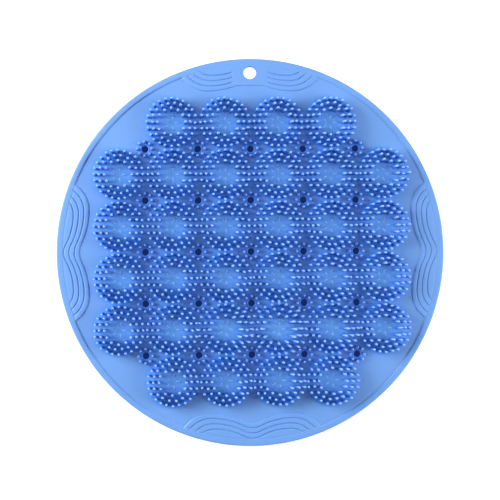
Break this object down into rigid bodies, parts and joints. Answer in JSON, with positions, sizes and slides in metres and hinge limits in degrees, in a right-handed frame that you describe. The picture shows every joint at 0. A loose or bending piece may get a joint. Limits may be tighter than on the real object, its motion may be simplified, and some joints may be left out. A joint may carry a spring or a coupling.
{
  "type": "wall-mounted back scrubber",
  "caption": "Round moulded silicone pad that holds to a wall by suction cups, with bristled domes to rub the back against, drain holes between them and a hanging hole.",
  "frame": {"origin": "centre of the round pad, in the plane of the suction cups' lips", "axes": "+Z out of the pad on the bristle side, +Y from the centre to the hanging hole"},
  "size_m": [0.3, 0.3, 0.0208],
  "materials": {
    "silicone": "soft satin silicone rubber, mid blue"
  },
  "bodies": {
    "root": {"scrubber_pad": "silicone"}
  },
  "joints": []
}
